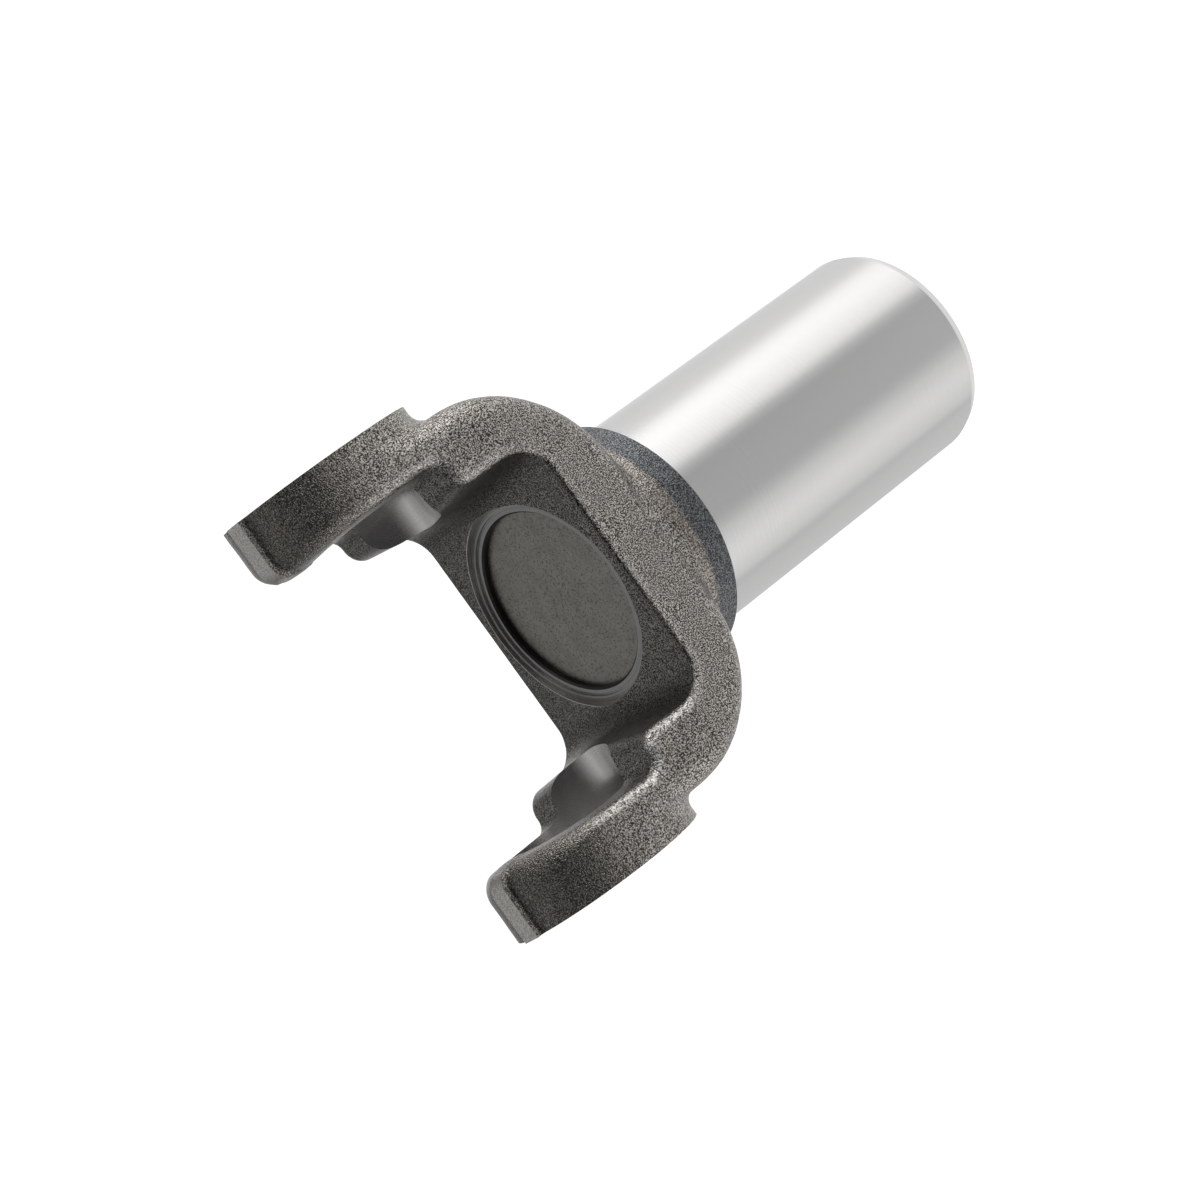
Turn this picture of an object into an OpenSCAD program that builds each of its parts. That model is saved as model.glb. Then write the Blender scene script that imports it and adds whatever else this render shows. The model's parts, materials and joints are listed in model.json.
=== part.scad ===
// Slip yoke of a propeller shaft: one steel forging with two ears, machined where it fits,
// and the expansion plug that closes its splined bore at the crotch.
// It stands on the open end of its barrel. X runs along the cross bore, Z up the barrel's axis.
// The forging's parting plane is y = 0, so every forged wall of the crotch drafts away from it.

/* [Barrel] */
// Ground diameter that runs in the seal and the bush
barrel_d = 47.88; // [44:0.01:50]
// Length from the open end up to the collar
barrel_l = 87; // [70:1:110]
// Depth of the lead chamfer at the open end, measured on the radius
lead_depth = 0.65; // [0.2:0.05:1.2]
// Length of the lead chamfer along the barrel
lead_length = 2.1; // [1:0.1:4]

/* [Splined bore] */
// Number of spline teeth
spline_teeth = 32; // [24:1:36]
// Diametral pitch of the spline, in teeth per inch of pitch diameter
spline_pitch = 24; // [23.5:0.5:26]
// Length of the teeth from the open end
spline_l = 68; // [40:1:80]
// Flank angle of the spline
spline_angle = 30; // [25:1:35]
// Diameter of the relief bore behind the teeth
relief_d = 36.6; // [36:0.1:38]
// Chamfer at the mouth of the bore
mouth_chamfer = 1.2; // [0.5:0.1:2]

/* [Collar] */
// Diameter of the forged collar above the barrel
collar_d = 55; // [52:0.5:58]
// Height of the collar's dark band
collar_h = 5.5; // [4:0.5:8]
// How far the collar has narrowed at the top of its band, on the radius
collar_taper = 0.8; // [0.2:0.1:1.5]
// How far the neck narrows from the collar's band to the saddle, on the radius
neck_taper = 1.2; // [0.5:0.1:2]
// Turned chamfer at the collar's lower rim
collar_chamfer = 0.6; // [0.3:0.1:1.2]

/* [Saddle and arms] */
// Height of the saddle's underside over the collar's lower face
saddle_rise = 8.3; // [6:0.1:10]
// Half width of the saddle and the arms across the parting plane
saddle_half_w = 25.7; // [25:0.1:27]
// Radius of the outer shoulder between saddle and arm
shoulder_r = 28; // [26:0.5:30]
// Half distance between the outer faces of the arms
arm_outer = 44; // [42:0.5:45]
// Rounding of the outer long edges
edge_r = 5.5; // [3:0.5:7]
// Height over the saddle's underside at which the arms begin to narrow
arm_taper_z = 21; // [17:1:26]

/* [Crotch] */
// Half gap between the roots of the arms, at the parting plane
root_gap = 26.8; // [26:0.1:28]
// Half gap between the inner faces of the ears, at the parting plane
ear_gap = 34; // [33:0.1:35]
// Thickness of the saddle at the parting plane
saddle_t = 17.3; // [16:0.1:19]
// Fillet between the floor and the root of an arm
root_fillet = 7.5; // [5:0.5:9]
// Height of the step on the inner side of an arm, under the middle of the cross bore
step_drop = 7.8; // [6.5:0.1:9]
// Rounding on top of the step
step_round = 4.4; // [3:0.1:4.4]
// Fillet between the step and the ear's inner face
step_fillet = 2.8; // [1:0.1:2.8]
// Draft of the inner walls from the parting plane
wall_draft = 5.5; // [3:0.5:7]
// Draft of the floor from the parting plane
floor_draft = 3.5; // [2:0.5:5]

/* [Ears and cross bore] */
// Diameter of the bores that take the bearing caps
cap_d = 30.18; // [28:0.01:31]
// Distance of the cross bore's axis from the open end of the barrel
bore_z = 139.5; // [134:0.5:142]
// Distance between the inner faces of the two snap-ring grooves
lockup = 92.08; // [88:0.01:93]
// Width of a snap-ring groove
groove_w = 1.6; // [1.2:0.1:2]
// Depth of a snap-ring groove, on the radius
groove_depth = 1.1; // [0.8:0.1:1.6]
// Lip left outside a snap-ring groove
groove_lip = 1.16; // [1:0.01:1.8]
// Radius of the ear about the cross bore
ear_r = 21.4; // [20.5:0.1:22.5]
// Fillet between the pad and the arm below it
pad_fillet = 3.2; // [2:0.1:4]
// Height of the trimmed flash land at the tip over the cross bore's axis
tip_h = 22.6; // [22:0.1:23.5]
// Width of the flash land across the parting plane
flash_w = 4.8; // [3:0.1:6]
// Fillet at both sides of the flash land
flash_fillet = 1.2; // [0.5:0.1:2]
// Rounding of the tip's inner edge
tip_round = 4.5; // [2:0.1:6]
// Entry chamfer of each bore
bore_chamfer = 0.4; // [0.2:0.1:0.8]

/* [Plug and its seat] */
// Diameter of the plug and of the bore that it is pressed into
plug_d = 40; // [39:0.1:41]
// Thickness of the plug at its rim
plug_t = 2.6; // [2:0.1:3.5]
// Height of the plug's crown over its rim
plug_crown = 0.5; // [0.2:0.1:1]
// Depth of the plug's rim under the lower step round it
plug_recess = 1.5; // [1:0.1:2.5]
// Diameter of the counterbore round the plug
land_d = 45.7; // [44.5:0.1:46.5]
// Depth of the counterbore under the floor's ridge
land_depth = 1.9; // [1.7:0.1:3]
// Diameter of the second, lower step of the counterbore
step_d = 43.2; // [42:0.1:44]
// Drop to that second step
step_depth = 0.5; // [0.3:0.1:0.8]
// Chamfer where the lower step drops to the plug
seat_chamfer = 0.4; // [0.2:0.1:0.6]

/* [Hidden] */
$fn = 120;

inch = 25.4;
far = 200;
past = 1;
// How far the cuts of the two sides run over each other in the middle of the crotch
overlap = root_gap / 4;
// How far an outline runs in under a round or a land that it would only touch, so that the two meet cleanly
dip = 0.05;

barrel_r = barrel_d / 2;
collar_r = collar_d / 2;
cap_r = cap_d / 2;
plug_r = plug_d / 2;

// A spline of this form has its pitch, tooth tips and roots at (N, N - 1, N + 1.35) over the pitch
pitch_r = spline_teeth / spline_pitch / 2 * inch;
minor_r = (spline_teeth - 1) / spline_pitch / 2 * inch;
major_r = (spline_teeth + 1.35) / spline_pitch / 2 * inch;
space_half = PI / (4 * spline_pitch) * inch;

saddle_z = barrel_l + saddle_rise;
floor_z = saddle_z + saddle_t;
step_z = bore_z - step_drop;
tip_z = bore_z + tip_h;
pad_x = lockup / 2 + groove_w + groove_lip;
shoulder_x = arm_outer - shoulder_r;
shoulder_z = saddle_z + shoulder_r;

land_z = floor_z - land_depth;
rim_z = land_z - step_depth;
plug_top = rim_z - plug_recess;
seat_z = plug_top - plug_t;

module forged() { color([0.36, 0.35, 0.34]) children(); }

module stamped() { color([0.37, 0.36, 0.34]) children(); }

// The quarter of a square corner that a rounding leaves over, its corner at the origin
module corner_waste(r) {
    difference() {
        square(r);
        translate([r, r]) circle(r);
    }
}

// Section of the bar that the saddle and the arms are made of: outside at x = reach, with round edges
module bar_section(reach, inside) {
    difference() {
        translate([inside, -saddle_half_w]) square([reach - inside, 2 * saddle_half_w]);
        for (side = [-1, 1])
            translate([reach, side * saddle_half_w]) rotate(side > 0 ? 180 : 90) corner_waste(edge_r);
    }
}

// Saddle, shoulders and arms as one bar bent into a U, up to the cross bore's axis
module bent_bar() {
    rise = bore_z - shoulder_z;
    translate([-shoulder_x, 0, shoulder_z]) rotate([0, 90, 0])
        linear_extrude(2 * shoulder_x) bar_section(shoulder_r, 0);
    for (side = [0, 1]) mirror([side, 0, 0]) {
        translate([shoulder_x, 0, shoulder_z]) rotate([90, 0, 0]) rotate([0, 0, -90])
            rotate_extrude(angle = 90) bar_section(shoulder_r, 0);
        translate([0, 0, shoulder_z]) linear_extrude(rise) bar_section(arm_outer, shoulder_x);
    }
}

// Ear about the cross bore, with the fillet that its pad stands on outside the arm
module ear() {
    foot = arm_outer + pad_fillet - shoulder_x;
    translate([shoulder_x, 0, bore_z]) rotate([0, 90, 0]) rotate_extrude() difference() {
        union() {
            square([ear_r, pad_x - shoulder_x]);
            square([ear_r + pad_fillet, foot]);
        }
        translate([ear_r + pad_fillet, foot]) circle(pad_fillet);
    }
}

// Outline of the yoke seen along the cross bore: wide at the saddle, narrowing onto the round ears,
// with the land of the trimmed flash and its fillets on top
module side_outline() {
    corner = [saddle_half_w, saddle_z + arm_taper_z - bore_z];
    flank_r = ear_r - dip;
    touch = atan2(corner[1], corner[0]) + acos(flank_r / norm(corner));
    side = [flank_r * cos(touch), flank_r * sin(touch)];
    foot_y = flash_w / 2 + flash_fillet;
    foot_z = sqrt(ear_r * ear_r - foot_y * foot_y) - dip;
    circle(ear_r);
    translate([-flash_w / 2, 0]) square([flash_w, tip_h]);
    for (flank = [0, 1]) mirror([flank, 0]) translate([flash_w / 2, foot_z]) corner_waste(flash_fillet);
    polygon([[-saddle_half_w, saddle_z - bore_z], [saddle_half_w, saddle_z - bore_z], corner, side,
             [-side[0], side[1]], [-corner[0], corner[1]]]);
}

// Outline of the crotch on one side of the middle, seen across the parting plane
module crotch_outline() {
    top = tip_z + far / 4;
    translate([-overlap, floor_z + root_fillet]) square([root_gap + overlap, top - floor_z - root_fillet]);
    translate([-overlap, floor_z]) square([root_gap - root_fillet + overlap, root_fillet + past]);
    translate([root_gap - root_fillet, floor_z + root_fillet]) circle(root_fillet);
    translate([-overlap, step_z + step_fillet]) square([ear_gap + overlap, top - step_z - step_fillet]);
    translate([-overlap, step_z]) square([ear_gap - step_fillet + overlap, step_fillet + past]);
    translate([ear_gap - step_fillet, step_z + step_fillet]) circle(step_fillet);
    translate([root_gap, step_z]) rotate(-90) corner_waste(step_round);
}

// What the tip's rounding takes off the inner top corner of an ear, seen the same way. The round ends a
// hair under the land, so that the land keeps its rear edge
module tip_waste() {
    difference() {
        translate([ear_gap - past, tip_z - tip_round - dip]) square([tip_round + past, tip_round + past]);
        translate([ear_gap + tip_round, tip_z - tip_round - dip]) circle(tip_round);
    }
}

// Space between the ears: four tilted cuts that meet at the parting plane give walls and floor their draft
module crotch() {
    for (left = [0, 1]) mirror([left, 0, 0])
        for (rear = [0, 1]) mirror([0, rear, 0]) {
            translate([0, 0, floor_z]) rotate([floor_draft, 0, wall_draft]) translate([0, far / 4, -floor_z])
                rotate([90, 0, 0]) linear_extrude(far / 2) crotch_outline();
            rotate(wall_draft) translate([0, far / 4, 0]) rotate([90, 0, 0]) linear_extrude(far / 2) tip_waste();
        }
}

// Collar between barrel and saddle, turned at its lower face, and the neck above it
module collar() {
    top_r = collar_r - collar_taper;
    translate([0, 0, barrel_l]) rotate_extrude()
        polygon([[0, -past], [barrel_r - past, -past], [barrel_r - past, 0], [collar_r - collar_chamfer, 0],
                 [collar_r, collar_chamfer], [top_r, collar_h], [top_r - neck_taper, saddle_rise + edge_r],
                 [0, saddle_rise + edge_r]]);
}

// Ground barrel with its lead chamfer
module barrel() {
    rotate_extrude()
        polygon([[0, 0], [barrel_r - lead_depth, 0], [barrel_r, lead_length], [barrel_r, barrel_l + past],
                 [0, barrel_l + past]]);
}

// One tooth space of the spline, from the minor bore out to the root
module tooth_space() {
    flare = tan(spline_angle);
    root_half = space_half - (major_r - pitch_r) * flare;
    tip_half = space_half + (pitch_r - minor_r + past) * flare;
    polygon([[minor_r - past, -tip_half], [major_r, -root_half], [major_r, root_half], [minor_r - past, tip_half]]);
}

// Splined bore, relief bore and the seat of the plug
module axial_bore() {
    translate([0, 0, -past]) linear_extrude(spline_l + past) union() {
        circle(minor_r);
        for (i = [0 : spline_teeth - 1]) rotate(i * 360 / spline_teeth) tooth_space();
    }
    rotate_extrude()
        polygon([[0, spline_l], [relief_d / 2, spline_l], [relief_d / 2, seat_z], [plug_r, seat_z],
                 [plug_r, rim_z - seat_chamfer], [plug_r + seat_chamfer, rim_z], [step_d / 2, rim_z],
                 [step_d / 2, land_z], [land_d / 2, land_z], [land_d / 2, floor_z + past], [0, floor_z + past]]);
    translate([0, 0, -past]) cylinder(h = mouth_chamfer + past, r1 = major_r + mouth_chamfer + past, r2 = major_r);
}

// Both cap bores on one axis, with the snap-ring groove near each outer face
module cross_bore() {
    translate([-far / 2, 0, bore_z]) rotate([0, 90, 0]) cylinder(h = far, r = cap_r);
    for (side = [0, 1]) mirror([side, 0, 0]) translate([0, 0, bore_z]) rotate([0, 90, 0]) {
        translate([0, 0, lockup / 2]) cylinder(h = groove_w, r = cap_r + groove_depth);
        translate([0, 0, pad_x - bore_chamfer])
            cylinder(h = bore_chamfer + past, r1 = cap_r, r2 = cap_r + bore_chamfer + past);
    }
}

// Outer form of the forging above the collar, before the crotch is taken out
module head() {
    intersection() {
        union() {
            bent_bar();
            for (side = [0, 1]) mirror([side, 0, 0]) ear();
        }
        translate([-far / 2, 0, bore_z]) rotate([90, 0, 90]) linear_extrude(far) side_outline();
    }
}

module yoke() {
    forged() difference() {
        union() {
            head();
            collar();
            barrel();
        }
        crotch();
        axial_bore();
        cross_bore();
    }
}

// Dished steel disc, pressed flat into its seat so that its rim grips
module expansion_plug() {
    dome_r = (plug_r * plug_r + plug_crown * plug_crown) / (2 * plug_crown);
    stamped() intersection() {
        translate([0, 0, seat_z]) cylinder(h = plug_t + plug_crown, r = plug_r);
        translate([0, 0, plug_top + plug_crown - dome_r]) sphere(dome_r, $fn = 720);
    }
}

yoke();
expansion_plug();
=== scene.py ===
import json
import math

import bmesh
import bpy
import numpy as np
import openvdb
from mathutils import Matrix, Vector


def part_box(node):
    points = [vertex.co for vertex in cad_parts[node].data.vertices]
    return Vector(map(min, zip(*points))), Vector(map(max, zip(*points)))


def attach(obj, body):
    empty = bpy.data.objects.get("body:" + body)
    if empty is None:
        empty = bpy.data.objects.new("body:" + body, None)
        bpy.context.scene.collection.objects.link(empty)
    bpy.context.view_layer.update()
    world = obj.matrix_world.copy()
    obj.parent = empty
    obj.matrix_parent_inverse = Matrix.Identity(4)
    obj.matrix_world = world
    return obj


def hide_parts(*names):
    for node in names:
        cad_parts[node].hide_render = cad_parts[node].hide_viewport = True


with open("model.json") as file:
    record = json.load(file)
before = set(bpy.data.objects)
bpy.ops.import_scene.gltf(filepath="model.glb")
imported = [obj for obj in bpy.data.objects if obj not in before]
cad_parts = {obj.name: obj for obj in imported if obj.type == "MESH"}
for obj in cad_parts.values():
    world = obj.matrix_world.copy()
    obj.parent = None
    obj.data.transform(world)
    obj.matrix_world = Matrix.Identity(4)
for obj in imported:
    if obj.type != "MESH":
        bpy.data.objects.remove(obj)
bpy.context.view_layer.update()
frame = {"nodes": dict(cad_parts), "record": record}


# Studio
# A long lens from above the open end of the fork, rolled until the barrel points to the upper right.
# White floor and world, with the object's soft shadow left on the floor.
scene = bpy.context.scene
scene.view_settings.view_transform = "Standard"

MM = 0.001
FOCAL = 109.37
SENSOR = 36
NEAREST = 0.01
CAMERA_PLACE = (22.367, -588.818, 535.037)
CAMERA_RIGHT = (-0.5840, -0.4985, -0.6407)
CAMERA_UP = (0.8109, -0.3221, -0.4885)
CAMERA_BACK = (0.0371, -0.8048, 0.5924)

lens = bpy.data.cameras.new("camera")
lens.lens = FOCAL
lens.sensor_width = SENSOR
lens.clip_start = NEAREST
camera = bpy.data.objects.new("camera", lens)
scene.collection.objects.link(camera)
stance = Matrix((CAMERA_RIGHT, CAMERA_UP, CAMERA_BACK)).transposed().to_quaternion()
camera.matrix_world = Matrix.Translation(Vector(CAMERA_PLACE) * MM) @ stance.to_matrix().to_4x4()
scene.camera = camera


class Wire:
    """A socket of a node tree, which takes Python's operators."""

    def __init__(self, tree, socket=None):
        self.tree = tree
        self.socket = socket

    def node(self, kind, settings=None, values=None, out=0):
        """Adds a node, sets its settings and then its sockets, and gives one of its outputs if it has any."""
        made = self.tree.nodes.new("ShaderNode" + kind)
        for name, setting in (settings or {}).items():
            if name == "stops":
                stops = made.color_ramp.elements
                while len(stops) < len(setting):
                    stops.new(0.5)
                for stop, (place, shade) in zip(stops, setting):
                    stop.position = place
                    stop.color = (shade, shade, shade, 1)
            else:
                setattr(made, name, setting)
        for name, value in (values or {}).items():
            if isinstance(value, Wire):
                self.tree.links.new(value.socket, made.inputs[name])
            else:
                made.inputs[name].default_value = value
        return Wire(self.tree, made.outputs[out] if made.outputs else None)

    def math(self, operation, *terms, clamp=False):
        """A Math node on sockets and numbers."""
        return self.node("Math", {"operation": operation, "use_clamp": clamp}, dict(enumerate(terms)))

    def parts(self, vector):
        """The X, Y and Z of a vector."""
        split = self.node("SeparateXYZ", values={0: vector})
        return [Wire(self.tree, socket) for socket in split.socket.node.outputs]

    def __add__(self, other):
        return self.math("ADD", self, other)

    def __radd__(self, other):
        return self.math("ADD", other, self)

    def __sub__(self, other):
        return self.math("SUBTRACT", self, other)

    def __rsub__(self, other):
        return self.math("SUBTRACT", other, self)

    def __mul__(self, other):
        return self.math("MULTIPLY", self, other)

    def __rmul__(self, other):
        return self.math("MULTIPLY", other, self)

    def __truediv__(self, other):
        return self.math("DIVIDE", self, other)

    def __rtruediv__(self, other):
        return self.math("DIVIDE", other, self)


def ramp(wire, value, start, end):
    """Rises smoothly from 0 to 1 while the value goes from the start to the end, upwards or downwards."""
    limits = {0: value, 1: start, 2: end, 3: 0.0, 4: 1.0}
    return wire.node("MapRange", {"interpolation_type": "SMOOTHSTEP"}, limits)


def new_material(name):
    """An empty node material, and a wire to build in it."""
    material = bpy.data.materials.new(name)
    material.use_nodes = True
    material.node_tree.nodes.clear()
    return material, Wire(material.node_tree)


FLOOR_REACH = 6
PAPER = (0.8, 0.8, 0.8, 1)
PAPER_GLOW = 0.93
floor_corners = [(x * FLOOR_REACH, y * FLOOR_REACH, 0) for x, y in ((-1, -1), (1, -1), (1, 1), (-1, 1))]
floor_mesh = bpy.data.meshes.new("studio_floor")
floor_mesh.from_pydata(floor_corners, [], [(0, 1, 2, 3)])
floor = bpy.data.objects.new("studio_floor", floor_mesh)
scene.collection.objects.link(floor)
floor_material, wire = new_material("white_paper")
seen = wire.node("LightPath", out="Is Camera Ray")
mirrored = wire.node("LightPath", out="Is Glossy Ray")
paper = wire.node("BsdfDiffuse", values={"Color": PAPER})
glow = wire.node("Emission", values={"Strength": seen * PAPER_GLOW})
paper = wire.node("AddShader", values={0: paper, 1: glow})
clear = wire.node("BsdfTransparent")
paper = wire.node("MixShader", values={0: mirrored, 1: paper, 2: clear})
wire.node("OutputMaterial", values={"Surface": paper})
floor_mesh.materials.append(floor_material)

# Cards stand all round the part, each at its bearing in degrees from +X and with its brightness. Below them
# the metal sees the pale floor, above them a dim ceiling with a light high at the back, and besides these
# a glow along the front horizon and a window at each side. A rise or fall is between two heights of view.
CARDS = [(-180, 0.72), (-172, 0.75), (-157, 0.88), (-149, 0.86), (-133, 0.7), (-122, 0.51), (-114, 0.41),
         (-66, 0.37), (-57, 0.55), (-47, 1.04), (-37, 1.22), (-21, 1.34), (-5, 1.2), (5, 1.03), (12, 0.8),
         (20, 0.74), (50, 0.78), (68, 0.82), (78, 0.98), (87, 1.1), (93, 0.68), (125, 0.68), (163, 0.62),
         (171, 0.48), (175, 0.7), (180, 0.72)]
BRIGHTEST = 2
CARD_TOPS = (-0.25, 0.0)
FLOOR_LIGHT = 0.95
FLOOR_EDGE = (-0.66, -0.86)
CEILING = 0.045
BACK_LIGHT = 0.42
BACK_RISE = (0.0, 0.45)
TOP_LIGHT = 0.9
TOP_RISE = (0.66, 0.82)
FRONT_LIGHT = 0.75
FRONT_RISE = (-0.42, -0.22)
FRONT_FALL = (0.25, -0.05)
WINDOW_LIGHT = 1.8
WINDOW_LEAN = 0.9
WINDOW_EDGE = (0.8, 0.93)
WINDOW_RISE = (-0.5, -0.36)
WINDOW_FALL = (0.08, -0.12)

world = bpy.data.worlds.new("studio")
world.use_nodes = True
world.node_tree.nodes.clear()
world.cycles.sampling_method = "NONE"
scene.world = world
wire = Wire(world.node_tree)
seen = wire.node("LightPath", out="Is Camera Ray")
x, y, z = wire.parts(wire.node("TexCoord", out="Generated"))
bearing = wire.math("ARCTAN2", y, x) / math.tau + 0.5
stops = [((degrees + 180) / 360, shade / BRIGHTEST) for degrees, shade in CARDS]
cards = wire.node("ValToRGB", {"stops": stops}, {0: bearing}) * BRIGHTEST
below = cards + (FLOOR_LIGHT - cards) * ramp(wire, z, *FLOOR_EDGE)
back = wire.math("MAXIMUM", y, 0)
above = back * ramp(wire, z, *BACK_RISE) * BACK_LIGHT
above = above + back * back * ramp(wire, z, *TOP_RISE) * TOP_LIGHT + CEILING
around = below + (above - below) * ramp(wire, z, *CARD_TOPS)
front = wire.math("MAXIMUM", 0 - y, 0) * ramp(wire, z, *FRONT_RISE) * ramp(wire, z, *FRONT_FALL)
windows = ramp(wire, wire.math("ABSOLUTE", x), *WINDOW_EDGE)
windows = windows * ramp(wire, z, *WINDOW_RISE) * ramp(wire, z, *WINDOW_FALL)
around = around + front * FRONT_LIGHT + windows * (x * WINDOW_LEAN + WINDOW_LIGHT)
light = wire.node("Background", values={"Color": (1, 1, 1, 1), "Strength": seen + (1 - seen) * around})
wire.node("OutputWorld", values={"Surface": light})

# Each softbox has its place, its width and height, and its power in watts
MIDDLE = Vector((0, 0, 0.1))
SOFTBOXES = {"softbox_right": ((1.1, -0.45, 0.5), 0.5, 0.8, 3),
             "softbox_left": ((-1.0, -0.5, 0.35), 0.4, 0.8, 2)}
for name, (place, width, height, watts) in SOFTBOXES.items():
    lamp = bpy.data.lights.new(name, "AREA")
    lamp.shape = "RECTANGLE"
    lamp.size = width
    lamp.size_y = height
    lamp.energy = watts
    holder = bpy.data.objects.new(name, lamp)
    scene.collection.objects.link(holder)
    holder.location = place
    holder.rotation_euler = (MIDDLE - Vector(place)).to_track_quat("-Z", "Y").to_euler()


# Forged yoke
# One steel forging: a bar bent into a U by the dies, ears on its ends, and a neck and collar below.
# Its skin keeps the dies' draft, fillets and roundings, so it is made as one rounded form on a grid,
# and the barrel, pads, bores, counterbore and spline are then machined into it.
mounts = {mount["name"]: mount for mount in frame["record"]["mounts"]}
BORE_R = mounts["cross_bore"]["dims"]["r_mm"]
BORE_Z = mounts["cross_bore"]["pos_m"][2] / MM
BARREL_R = mounts["barrel_journal"]["dims"]["r_mm"]
MINOR_R = mounts["spline_bore"]["dims"]["r_mm"]
SPLINE_L = mounts["spline_bore"]["dims"]["length_mm"]
PAD_X, _, TIP_Z = [round(reach / MM, 2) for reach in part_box("yoke")[1]]
SEAT_Z = round(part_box("expansion_plug")[0].z / MM, 2)

# The forging's own sizes, in mm; RIMS and NECK pair a height with the rim's rounding or the neck's radius
SADDLE_HALF_W = 25.7
SADDLE_Z = 95.3
SHOULDER_R = 28
ARM_OUTER = 44
EDGE_R = 5.5
TAPER_Z = 116.3
EAR_R = 21.4
PAD_STOCK = 3
PAD_FILLET = 3.2
ROOT_GAP = 26.8
EAR_GAP = 34
FLOOR_Z = 112.6
STEP_Z = 131.7
ROOT_FILLET = 7.5
STEP_ROUND = 4.4
STEP_FILLET = 2.8
WALL_DRAFT = math.radians(5.5)
FLOOR_DRAFT = math.radians(3.5)
PARTING_SOFT = 1.6
FLOOR_ROUND = 1.0
RIM_ROUND = 2.4
TIP_ROUND = 4.5
RIMS = [(114, FLOOR_ROUND), (120, RIM_ROUND), (BORE_Z + 8, RIM_ROUND), (BORE_Z + 18, TIP_ROUND)]
FLASH_HALF_W = 2.4
FLASH_PROUD = 2.4
FLASH_X = EAR_GAP + 0.8
FLASH_UP = 12
FLASH_FILLET = 1.2
BARREL_L = 87
COLLAR_R = 27.5
NECK_LOW = 83.5
NECK_TOP = 104
NECK = [(84, COLLAR_R + 0.4), (BARREL_L, COLLAR_R), (92.5, 26.7), (96, 25.6), (NECK_TOP, 21)]
NECK_FILLET = 2.2
RIPPLE_LONG = 0.05
RIPPLE_SHORT = 0.03


def round_meet(a, b, r):
    """Distance to what lies in both forms, with its edge rounded."""
    return np.minimum(np.maximum(a, b), -r) + np.hypot(np.maximum(a + r, 0), np.maximum(b + r, 0))


def round_join(a, b, r):
    """Distance to what lies in either form, with a fillet between them."""
    return np.maximum(np.minimum(a, b), r) - np.hypot(np.maximum(r - a, 0), np.maximum(r - b, 0))


def ripple(x, y, z):
    """The shallow unevenness of a forged skin, in mm: waves about 20 mm long under waves of about 8 mm."""
    long = np.sin(0.31 * x + 0.17 * z) * np.sin(0.23 * y - 0.29 * z + 1.3)
    short = np.sin(0.83 * x - 0.61 * y + 0.4) * np.sin(0.57 * y + 0.79 * z + 2.1) * np.sin(0.47 * x - 0.9 * z)
    return RIPPLE_LONG * long + RIPPLE_SHORT * short


def crotch(p):
    """Signed distance in mm to the space between the arms, drafted from the parting plane."""
    x, z = p[..., 0], p[..., 2]
    soft_y = np.hypot(p[..., 1], PARTING_SOFT) - PARTING_SOFT
    wall = np.abs(x) * math.cos(WALL_DRAFT) - soft_y * math.sin(WALL_DRAFT)
    height = FLOOR_Z + (z - FLOOR_Z) * math.cos(FLOOR_DRAFT) + soft_y * math.sin(FLOOR_DRAFT)
    low = round_meet(wall - ROOT_GAP, FLOOR_Z - height, ROOT_FILLET)
    high = round_meet(wall - EAR_GAP, STEP_Z - height, STEP_FILLET)
    return round_join(low, high, STEP_ROUND)


def forging(p):
    """Signed distance in mm from points to the forging's skin, negative inside the steel."""
    x, y, z = p[..., 0], p[..., 1], p[..., 2]
    ax, ay, up = np.abs(x), np.abs(y), z - BORE_Z
    rho = np.hypot(y, up)

    # The flank runs straight from the saddle's side until it touches the round of the ear
    bar = round_meet(ax - ARM_OUTER, SADDLE_Z - z, SHOULDER_R)
    corner = (SADDLE_HALF_W, TAPER_Z - BORE_Z)
    touch = math.atan2(corner[1], corner[0]) + math.acos(EAR_R / math.hypot(*corner))
    flank = ay * math.cos(touch) + up * math.sin(touch) - EAR_R
    side = np.where(np.arctan2(up, ay) > touch, rho - EAR_R, np.maximum(ay - SADDLE_HALF_W, flank))
    arms = round_meet(bar, side, EDGE_R)
    pad = np.maximum(rho - EAR_R, ax - PAD_X - PAD_STOCK)
    body = np.maximum(round_join(arms, pad, PAD_FILLET), side)

    neck_r = np.interp(z, *zip(*NECK))
    neck = np.maximum(np.maximum(np.hypot(x, y) - neck_r, NECK_LOW - z), z - NECK_TOP)
    body = round_join(body, neck, NECK_FILLET)
    body = round_meet(body, -crotch(p), np.interp(z, *zip(*RIMS)))

    ridge = np.maximum(ay - FLASH_HALF_W, rho - EAR_R - FLASH_PROUD)
    ridge = np.maximum(ridge, np.maximum(FLASH_X - ax, FLASH_UP - up))
    body = round_join(body, np.maximum(ridge, ax - PAD_X - PAD_STOCK), FLASH_FILLET)
    return body + ripple(x, y, z)


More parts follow.
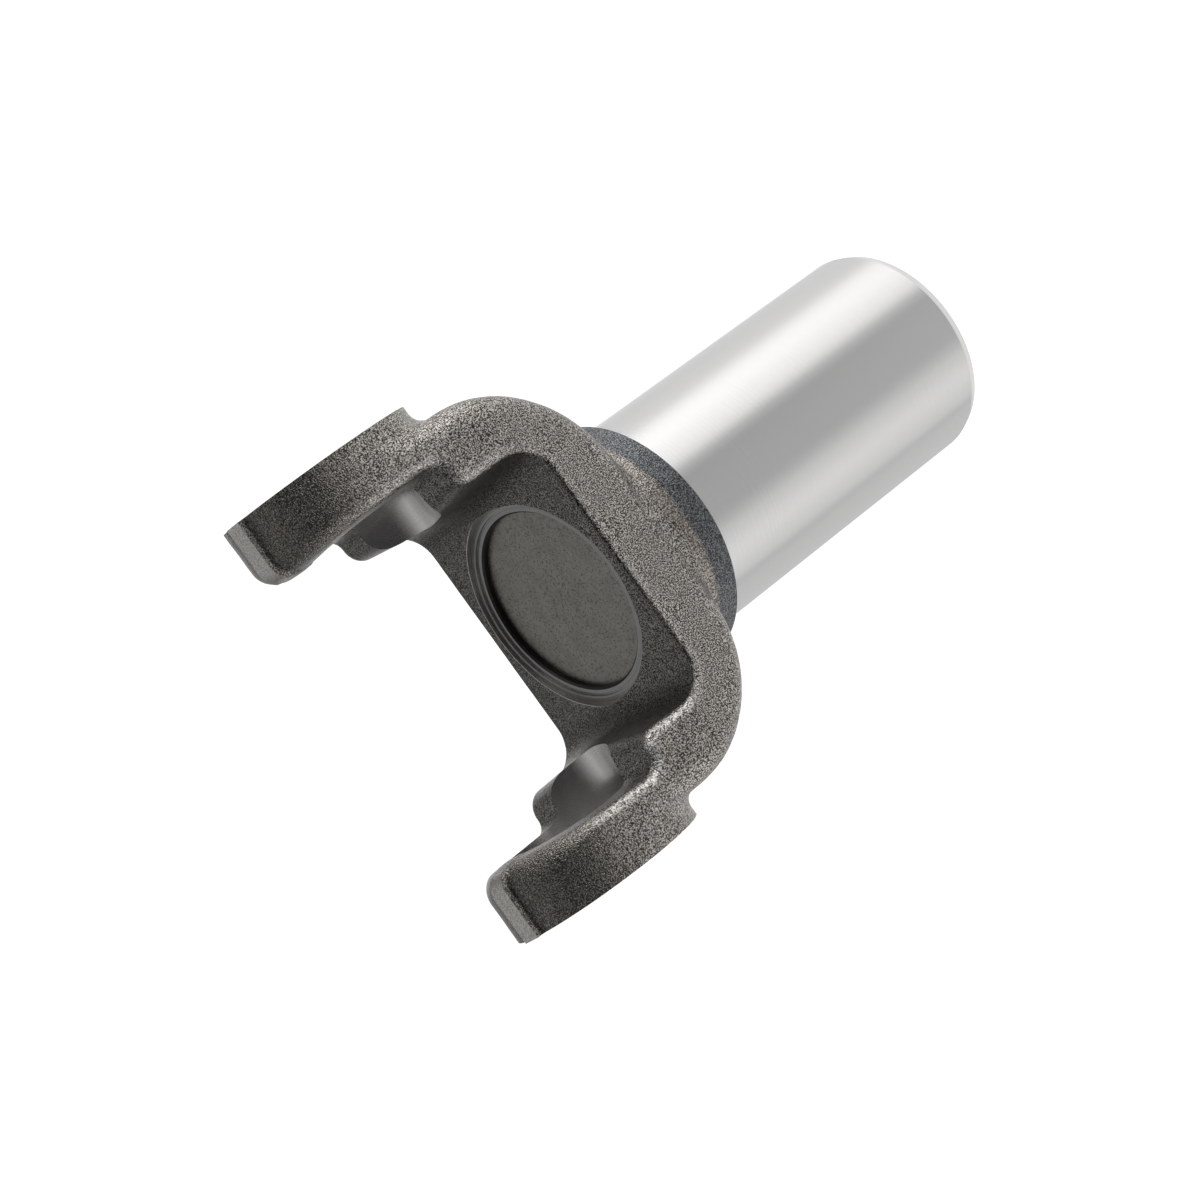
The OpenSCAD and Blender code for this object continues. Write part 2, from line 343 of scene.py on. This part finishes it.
# The form's surface is found on a grid, and each of its points is then slid down the slope onto the form
CELL = 0.65
GRID_LOW = np.array([-52.0, -29.25, 81.0])
GRID_STEPS = (161, 91, 131)
PROBE = 0.02
SLIDES = 3
GENTLEST = 0.25
grid_lines = [low + CELL * np.arange(steps) for low, steps in zip(GRID_LOW, GRID_STEPS)]
grid_points = np.stack(np.meshgrid(*grid_lines, indexing="ij"), -1)
field = openvdb.FloatGrid(3 * CELL)
field.copyFromArray(forging(grid_points).astype(np.float32))
skin_points, skin_quads = field.convertToQuads(isovalue=0.0)
skin_points = skin_points * CELL + GRID_LOW
for _ in range(SLIDES):
    gap = forging(skin_points)
    rises = [forging(skin_points + PROBE * axis) - forging(skin_points - PROBE * axis) for axis in np.eye(3)]
    slope = np.stack(rises, -1) / (2 * PROBE)
    steepness = np.maximum((slope ** 2).sum(-1), GENTLEST)
    skin_points = skin_points - (np.clip(gap, -CELL, CELL) / steepness)[:, None] * slope


def tinted(wire, factor, low, high):
    """Mixes two colours by a factor."""
    ends = [(*end, 1) if isinstance(end, tuple) else end for end in (low, high)]
    return wire.node("Mix", {"data_type": "RGBA"}, {0: factor, 6: ends[0], 7: ends[1]}, out=2)


def noise(wire, place, scale, detail=2, roughness=0.6):
    """Noise in the metal's own space, with so many waves to the metre."""
    return wire.node("TexNoise", {"noise_dimensions": "3D"},
                     {"Vector": place, "Scale": scale, "Detail": detail, "Roughness": roughness})


# Hot-forged skin, shot-blasted and oiled: grainy brown-grey, nearly black in the crotch, straw and blue on
# the collar, with painted shade up the ears and painted highlights on the crotch's edges and the
# counterbore's lip.
# Shaders work in metres, so the heights and radii of its bands and of the lip are in metres too.
GRAIN = 3500
GRAIN_RISE = (0.42, 0.64)
FLECK = 1300
FLECK_RISE = (0.45, 0.65)
BLOTCH = 170
DIMPLE = (0.036, 0.033, 0.03)
CREST = (0.685, 0.645, 0.597)
RUSTY = (0.37, 0.315, 0.275)
RUSTY_SHARE = 0.1
DULL = (0.23, 0.222, 0.21)
DULL_FROM = 0.4
DULL_SHARE = 0.25
EAR_TIP_SHADE = (0.2, 0.187, 0.17)
EAR_TIP_SHADE_RISE = (0.142, 0.152)
EAR_TIP_SHADE_SHARE = 0.45
RUB_HIGHLIGHT = (0.97, 0.95, 0.91)
RUB_HIGHLIGHT_RISE = (0.38, 0.56)
RUB_HIGHLIGHT_GRAIN = 0.6
BAND_WANDER = 0.001
STRAW = (0.25, 0.21, 0.185)
STRAW_FADE = (0.0975, 0.0928)
STRAW_SHARE = 0.35
BLUE_DARK = (0.035, 0.039, 0.044)
BLUE_LIGHT = (0.19, 0.204, 0.22)
BLUE_FADE = (0.0931, 0.0918)
BLUE_SHARE = 0.9
DARK_ZONE_LOW = (0.04, 0.038, 0.035)
DARK_ZONE_HIGH = (0.26, 0.252, 0.236)
DARK_ZONE_SMOOTH = 0.6
LIP_HIGHLIGHT = (0.9, 0.89, 0.87)
LIP_RADIUS = 0.02297
LIP_HALF_W = 0.00014
LIP_BACK = (0.0, 0.012)
LIP_HEIGHT = (0.107, 0.109)
SKIN_METAL = 0.9
SKIN_ROUGH = 0.22
SKIN_ROUGH_GRAIN = 0.2
SKIN_RELIEF = 0.0002
skin_material, wire = new_material("forged_skin")
place = wire.node("TexCoord", out="Object")
place_x, place_y, height_z = wire.parts(place)
grain = noise(wire, place, GRAIN, detail=1)
fleck = noise(wire, place, FLECK)
blotch = noise(wire, place, BLOTCH, detail=3)
sheltered = wire.node("Attribute", {"attribute_name": "sheltered"}, out="Fac")
worn = wire.node("Attribute", {"attribute_name": "worn"}, out="Fac") * ramp(wire, fleck, *RUB_HIGHLIGHT_RISE)
speckle = ramp(wire, grain, *GRAIN_RISE)
tone = tinted(wire, speckle, DIMPLE, CREST)
tone = tinted(wire, ramp(wire, fleck, *FLECK_RISE) * RUSTY_SHARE, tone, RUSTY)
tone = tinted(wire, (blotch - DULL_FROM) * DULL_SHARE, tone, DULL)
# Painted shade, brown-tinted, darkening the ears towards their tips
tone = tinted(wire, ramp(wire, height_z, *EAR_TIP_SHADE_RISE) * EAR_TIP_SHADE_SHARE, tone, EAR_TIP_SHADE)
# Painted highlight, partly rubbed wear, on the edges round the crotch
tone = tinted(wire, worn * (speckle * RUB_HIGHLIGHT_GRAIN + (1 - RUB_HIGHLIGHT_GRAIN)), tone, RUB_HIGHLIGHT)
# Straw and blue bands on the collar, their edges wandering a little in height
wandering_height = height_z + (blotch - 0.5) * BAND_WANDER
tone = tinted(wire, ramp(wire, wandering_height, *STRAW_FADE) * STRAW_SHARE, tone, STRAW)
collar_blue = tinted(wire, speckle, BLUE_DARK, BLUE_LIGHT)
tone = tinted(wire, ramp(wire, wandering_height, *BLUE_FADE) * BLUE_SHARE, tone, collar_blue)
# Nearly black in the crotch, less between the ears, and in a thin line beside each flash land
tone = tinted(wire, sheltered, tone, tinted(wire, speckle, DARK_ZONE_LOW, DARK_ZONE_HIGH))

# Painted highlight along the back half of the counterbore's sharp lip
radius = wire.math("SQRT", place_x * place_x + place_y * place_y)
lip_highlight = wire.math("SUBTRACT", 1, wire.math("ABSOLUTE", radius - LIP_RADIUS) / LIP_HALF_W, clamp=True)
lip_highlight = lip_highlight * ramp(wire, place_y, *LIP_BACK) * ramp(wire, height_z, *LIP_HEIGHT)
tone = tinted(wire, lip_highlight, tone, LIP_HIGHLIGHT)
relief = wire.node("Bump", values={"Strength": 1.0, "Distance": SKIN_RELIEF,
                                   "Height": grain * (1 - sheltered * DARK_ZONE_SMOOTH)})
skin = wire.node("BsdfPrincipled", values={"Base Color": tone, "Metallic": SKIN_METAL, "Normal": relief,
                                           "Roughness": grain * SKIN_ROUGH_GRAIN + SKIN_ROUGH})
wire.node("OutputMaterial", values={"Surface": skin})

# Where the trimming die sheared the flash off the tips
TRIM_GRAIN = 3000
TRIM_RISE = (0.4, 0.6)
TRIM_DARK = (0.5, 0.489, 0.464)
TRIM_LIGHT = (0.78, 0.763, 0.73)
TRIM_ROUGH = 0.4
TRIM_RELIEF = 0.0001
trim_material, wire = new_material("trimmed_flash")
grain = noise(wire, wire.node("TexCoord", out="Object"), TRIM_GRAIN, detail=1)
tone = tinted(wire, ramp(wire, grain, *TRIM_RISE), TRIM_DARK, TRIM_LIGHT)
relief = wire.node("Bump", values={"Strength": 0.5, "Distance": TRIM_RELIEF, "Height": grain})
trim = wire.node("BsdfPrincipled", values={"Base Color": tone, "Metallic": SKIN_METAL, "Normal": relief,
                                           "Roughness": TRIM_ROUGH})
wire.node("OutputMaterial", values={"Surface": trim})

WEAR = 1800
WEAR_FROM = 0.35
WEAR_SHARE = 0.5
WEAR_ROUGH = 0.06


def worked(name, colour, roughness, pitch, along, depth=0.00001, contrast=0.2, brushed=0.0, brush_turn=0.25):
    """Machined steel with tool lines a pitch apart, in metres, along the barrel, the radius or the bore."""
    material, wire = new_material(name)
    place = wire.node("TexCoord", out="Object")
    x, y, z = wire.parts(place)
    feed = {"barrel": z, "radius": wire.math("SQRT", x * x + y * y), "bore": x}[along]
    lines = wire.node("TexNoise", {"noise_dimensions": "1D"},
                      {"W": feed, "Scale": 1 / pitch, "Detail": 3, "Roughness": 0.7})
    wear = noise(wire, place, WEAR)
    dark, light = [tuple(c * (1 + sign * contrast) for c in colour) for sign in (-1, 1)]
    shade = tinted(wire, lines, dark, light)
    shade = tinted(wire, (wear - WEAR_FROM) * WEAR_SHARE, shade, dark)
    relief = wire.node("Bump", values={"Strength": 0.5, "Distance": depth, "Height": lines})
    steel = wire.node("BsdfPrincipled", values={"Base Color": shade, "Metallic": 1, "Normal": relief,
                                                "Roughness": wear * WEAR_ROUGH + roughness,
                                                "Anisotropic": brushed, "Anisotropic Rotation": brush_turn})
    wire.node("OutputMaterial", values={"Surface": steel})
    return material


FINISHES = {
    "skin": skin_material,
    "ground": worked("ground_steel", (0.73, 0.725, 0.72), 0.16, 0.0003, "barrel", depth=0.000001,
                     contrast=0.08, brushed=0.9),
    "faced": worked("turned_steel", (0.34, 0.34, 0.335), 0.28, 0.00035, "radius", depth=0.00003,
                    contrast=0.8),
    "bored": worked("bored_steel", (0.66, 0.65, 0.64), 0.19, 0.0003, "bore", depth=0.000004,
                    contrast=0.15, brushed=0.5, brush_turn=0.0),
    "milled": worked("milled_steel", (0.27, 0.27, 0.265), 0.35, 0.0003, "radius"),
    "trimmed": trim_material,
    "step": worked("step_steel", (0.66, 0.65, 0.635), 0.45, 0.0004, "barrel", depth=0.00003, contrast=0.4),
    # Painted shadow: near-black steel on the wall of the plug's seat
    "recess": worked("shaded_steel", (0.09, 0.088, 0.085), 0.4, 0.0004, "barrel")}


def solid(name, points, faces, surface):
    """A closed mesh object from points in mm, all its faces in one of the yoke's finishes."""
    mesh = bpy.data.meshes.new(name)
    mesh.from_pydata((np.asarray(points) * MM).tolist(), [], [[int(i) for i in face] for face in faces])
    shape = bmesh.new()
    shape.from_mesh(mesh)
    bmesh.ops.recalc_face_normals(shape, faces=shape.faces)
    shape.to_mesh(mesh)
    shape.free()
    for material in FINISHES.values():
        mesh.materials.append(material)
    mesh.polygons.foreach_set("material_index", [list(FINISHES).index(surface)] * len(mesh.polygons))
    made = bpy.data.objects.new(name, mesh)
    scene.collection.objects.link(made)
    return made


def turned(name, outline, surface, centre_z=None, steps=240):
    """A solid of revolution from (radius, place) pairs: about the barrel's axis, or about the cross bore."""
    points, rows = [], []
    turns = [math.tau * i / steps for i in range(steps)]
    for radius, place in outline:
        if radius == 0:
            rows.append([len(points)])
            points.append((0, 0, place))
        else:
            rows.append(list(range(len(points), len(points) + steps)))
            points += [(radius * math.cos(turn), radius * math.sin(turn), place) for turn in turns]
    faces = []
    for here, there in zip(rows, rows[1:] + rows[:1]):
        if len(here) == len(there) == 1:
            continue
        for i in range(steps):
            j = (i + 1) % steps
            if len(here) == 1:
                faces.append((here[0], there[j], there[i]))
            elif len(there) == 1:
                faces.append((here[i], here[j], there[0]))
            else:
                faces.append((here[i], here[j], there[j], there[i]))
    points = np.array(points, float)
    if centre_z is not None:
        points = points[:, [2, 1, 0]] * (1, 1, -1) + (0, 0, centre_z)
    return solid(name, points, faces, surface)


def drawn(name, outline, low, high, surface, across=False):
    """A prism: an outline in X and Y drawn up Z, or one in X and Z drawn along Y."""
    count = len(outline)
    ends = [[(u, end, v) if across else (u, v, end) for u, v in outline] for end in (low, high)]
    faces = [tuple(range(count)), tuple(range(2 * count - 1, count - 1, -1))]
    faces += [(i, (i + 1) % count, count + (i + 1) % count, count + i) for i in range(count)]
    return solid(name, ends[0] + ends[1], faces, surface)


def cut(stock, tool, operation="DIFFERENCE"):
    """Applies one Boolean to the stock and removes the tool."""
    boolean = stock.modifiers.new("cut", "BOOLEAN")
    boolean.operation = operation
    boolean.solver = "MANIFOLD"
    boolean.object = tool
    bpy.context.view_layer.update()
    result = bpy.data.meshes.new_from_object(stock.evaluated_get(bpy.context.evaluated_depsgraph_get()))
    stock.modifiers.clear()
    old = stock.data
    stock.data = result
    bpy.data.meshes.remove(old)
    bpy.data.objects.remove(tool)


yoke = solid("forged_yoke", skin_points, skin_quads, "skin")

# Machined outside: rough bar joined on, then ground barrel, chamfered end and collar face in one lathe form
ROUGH_R = 25.5
ROUGH_TOP = 90
LEAD_DEPTH = 0.65
LEAD_LENGTH = 2.1
END_BREAK = 0.12
COLLAR_CHAMFER = 0.6
SWING = 90
ABOVE = 180
CLEAR = 1
OVERRUN = 2
bar = [(0, -CLEAR), (ROUGH_R, -CLEAR), (ROUGH_R, ROUGH_TOP), (0, ROUGH_TOP)]
cut(yoke, turned("bar", bar, "skin"), "UNION")
lathe = [(0, 0), (BARREL_R - LEAD_DEPTH - END_BREAK, 0), (BARREL_R - LEAD_DEPTH, END_BREAK),
         (BARREL_R, LEAD_LENGTH), (BARREL_R, BARREL_L), (SWING, BARREL_L), (SWING, ABOVE), (0, ABOVE)]
cut(yoke, turned("lathe", lathe, "ground"), "INTERSECT")
chamfer = [(COLLAR_R - COLLAR_CHAMFER - CLEAR, BARREL_L - CLEAR),
           (COLLAR_R + OVERRUN, BARREL_L + COLLAR_CHAMFER + OVERRUN), (COLLAR_R + OVERRUN, BARREL_L - CLEAR)]
cut(yoke, turned("chamfer", chamfer, "skin"))

# Flash trimmed flat at the tips, and pads faced
TRIM_OFF = 0.03
TRIM_HALF_W = 9
TRIM_TURN = np.radians(np.arange(-20, 91, 3))
WASTE_X = (30, 60)
WASTE_Z = 170
FACING_X = 70
FACING_HALF_W = 40
FACING_Z = 100
arc = [(EAR_GAP + TIP_ROUND - TIP_ROUND * math.cos(a), TIP_Z - TIP_ROUND - TRIM_OFF + TIP_ROUND * math.sin(a))
       for a in TRIM_TURN]
waste = arc + [(EAR_GAP + TIP_ROUND, TIP_Z), (WASTE_X[1], TIP_Z), (WASTE_X[1], WASTE_Z),
               (WASTE_X[0], WASTE_Z), (WASTE_X[0], arc[0][1])]
facing = [(PAD_X, -FACING_HALF_W), (FACING_X, -FACING_HALF_W),
          (FACING_X, FACING_HALF_W), (PAD_X, FACING_HALF_W)]
for side in (-1, 1):
    tip = [(side * u, v) for u, v in waste]
    cut(yoke, drawn("trim", tip, -TRIM_HALF_W, TRIM_HALF_W, "trimmed", across=True))
    pad_face = [(side * u, v) for u, v in facing]
    cut(yoke, drawn("facing", pad_face, FACING_Z, ABOVE, "milled"))

# Cross bore with snap-ring grooves
BORE_FROM = 20
BORE_MOUTH = 0.4
GROOVE_X = 46.04
GROOVE_W = 1.6
GROOVE_DEPTH = 1.1
GROOVE_R = BORE_R + GROOVE_DEPTH
bore =[(0, BORE_FROM), (BORE_R, BORE_FROM), (BORE_R, GROOVE_X), (GROOVE_R, GROOVE_X),
        (GROOVE_R, GROOVE_X + GROOVE_W), (BORE_R, GROOVE_X + GROOVE_W), (BORE_R, PAD_X - BORE_MOUTH),
        (BORE_R + BORE_MOUTH + OVERRUN, PAD_X + OVERRUN), (0, PAD_X + OVERRUN)]
for side in (-1, 1):
    cut(yoke, turned("bore", [(r, side * along) for r, along in bore], "bored", centre_z=BORE_Z))

# Relief bore and the stepped seat of the plug
RELIEF_R = 18.3
RELIEF_Z = 60
SEAT_R = 20
SEAT_CHAMFER = 0.4
STEP_R = 21.6
RIM_Z = 110.2
LAND_R = 22.85
LAND_Z = 110.7
SEAT_TOP = 120
seat = [(0, RELIEF_Z), (RELIEF_R, RELIEF_Z), (RELIEF_R, SEAT_Z), (SEAT_R, SEAT_Z),
        (SEAT_R, RIM_Z - SEAT_CHAMFER), (SEAT_R + SEAT_CHAMFER, RIM_Z), (STEP_R, RIM_Z), (STEP_R, LAND_Z),
        (LAND_R, LAND_Z), (LAND_R, SEAT_TOP), (0, SEAT_TOP)]
cut(yoke, turned("seat", seat, "faced"))

# Broached spline, open at the barrel's end through a chamfered mouth
TEETH = 32
PITCH_R = 16.933
MAJOR_R = 17.648
SPACE_HALF = 0.831
MOUTH_CHAMFER = 1.2
FLARE = math.tan(math.radians(30))
space = [(MINOR_R, SPACE_HALF + (PITCH_R - MINOR_R) * FLARE),
         (MAJOR_R, SPACE_HALF - (MAJOR_R - PITCH_R) * FLARE)]
ring = []
for i in range(TEETH):
    centre = math.tau * i / TEETH
    ring += [(centre - half / r, r) for r, half in space]
    ring += [(centre + half / r, r) for r, half in reversed(space)]
spline = [(r * math.cos(a), r * math.sin(a)) for a, r in ring]
cut(yoke, drawn("spline", spline, -CLEAR, SPLINE_L, "faced"))
mouth = [(0, -CLEAR), (MAJOR_R + MOUTH_CHAMFER + CLEAR, -CLEAR), (MAJOR_R, MOUTH_CHAMFER), (0, MOUTH_CHAMFER)]
cut(yoke, turned("mouth", mouth, "faced"))


def fade(value, start, length, least=0):
    """Rises from 0 at the start to 1 a length further on, and is never below its least."""
    return np.clip((value - start) / length, least, 1)


# Darker in the crotch, less so between the ears, and in a thin line beside each flash land
DARK_ZONE_EDGE = 0.6
DARK_ZONE_FADE = 0.9
EARS_FROM = 126
EARS_FADE = 8
EARS_LESS = 0.5
LAND_LINE_Y = 2.9
LAND_LINE_HALF_W = 0.3
LAND_LINE_Z = 158.5
LAND_LINE_DARK = 0.7
corners = np.zeros(3 * len(yoke.data.vertices))
yoke.data.vertices.foreach_get("co", corners)
corners = corners.reshape(-1, 3) / MM
corner_y, corner_z = np.abs(corners[:, 1]), corners[:, 2]
into = fade(DARK_ZONE_EDGE - crotch(corners), 0, DARK_ZONE_FADE)
dark_zone_values = into ** 2 * (3 - 2 * into) * (1 - EARS_LESS * fade(corner_z, EARS_FROM, EARS_FADE))
land_line = np.clip(1 - np.abs(corner_y - LAND_LINE_Y) / LAND_LINE_HALF_W, 0, LAND_LINE_DARK) * fade(corner_z, LAND_LINE_Z, 1)
yoke.data.attributes.new("sheltered", "FLOAT", "POINT").data.foreach_set("value", np.maximum(dark_zone_values, land_line))

# Edges round the crotch: painted highlight on rubbed wear, stronger on the ear that stands nearer the light
RUB_AT = 1.1
RUB_HALF_W = 1.1
RUB_FULL = 1.2
RUB_SHADE_SIDE = 0.55
RUB_LIGHT_SIDE = 1.1
RUB_FROM = 113
RUB_TO = 150
RUB_FADE = 6
RUB_LEAST = 0.35
edge_rub_highlight = np.clip(RUB_FULL - np.abs(crotch(corners) - RUB_AT) / RUB_HALF_W, 0, 1)
edge_rub_highlight = edge_rub_highlight * np.where(corners[:, 0] > 0, RUB_SHADE_SIDE, RUB_LIGHT_SIDE)
edge_rub_highlight = edge_rub_highlight * fade(corner_z, RUB_FROM, RUB_FADE, least=RUB_LEAST) * fade(RUB_TO - corner_z, 0, RUB_FADE)
yoke.data.attributes.new("worn", "FLOAT", "POINT").data.foreach_set("value", edge_rub_highlight)

# Walls above the plug's seat stay bright, the seat's wall is painted shadow in near-black, tool edges stay
# sharp
SHORTEST_EDGE = 0.002
LEVEL = 0.9
SHARP = math.radians(9)
shape = bmesh.new()
shape.from_mesh(yoke.data)
bmesh.ops.dissolve_degenerate(shape, dist=SHORTEST_EDGE * MM, edges=shape.edges)
skinned, faced, step, recess = map(list(FINISHES).index, ("skin", "faced", "step", "recess"))
for face in shape.faces:
    face.smooth = True
    height = face.calc_center_median().z / MM
    if face.material_index == faced and face.normal.z < LEVEL and height > SEAT_Z:
        face.material_index = step if height > RIM_Z else recess
for edge in shape.edges:
    kinds = {face.material_index for face in edge.link_faces}
    edge.smooth = kinds == {skinned} or (len(kinds) == 1 and edge.calc_face_angle(0) < SHARP)
shape.to_mesh(yoke.data)
shape.free()
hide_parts("yoke")
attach(yoke, "root")


# Expansion plug
# A dished steel stamping, pressed flat into the counterbore; dull grey-brown with faint mottling.
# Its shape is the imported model's own.
PITS = 2000
PITS_RISE = (0.5, 0.34)
PITS_SHARE = 0.7
PITS_DARK = (0.12, 0.114, 0.105)
PITS_DEPTH = 0.00005
MOTTLE = 260
MOTTLE_RISE = (0.35, 0.65)
PLUG_DARK = (0.34, 0.324, 0.297)
PLUG_LIGHT = (0.42, 0.402, 0.371)
PLUG_METAL = 0.85
PLUG_ROUGH = 0.38
PLUG_ROUGH_MOTTLE = 0.2
plug_material, wire = new_material("stamped_steel")
place = wire.node("TexCoord", out="Object")
pits = noise(wire, place, PITS, roughness=0.7)
mottle = noise(wire, place, MOTTLE, detail=4, roughness=0.65)
tone = tinted(wire, ramp(wire, mottle, *MOTTLE_RISE), PLUG_DARK, PLUG_LIGHT)
tone = tinted(wire, ramp(wire, pits, *PITS_RISE) * PITS_SHARE, tone, PITS_DARK)
relief = wire.node("Bump", values={"Strength": 0.6, "Distance": PITS_DEPTH, "Height": pits})
stamped = wire.node("BsdfPrincipled", values={"Base Color": tone, "Metallic": PLUG_METAL, "Normal": relief,
                                              "Roughness": mottle * PLUG_ROUGH_MOTTLE + PLUG_ROUGH})
wire.node("OutputMaterial", values={"Surface": stamped})
plug = frame["nodes"]["expansion_plug"]
plug.data.materials.clear()
plug.data.materials.append(plug_material)
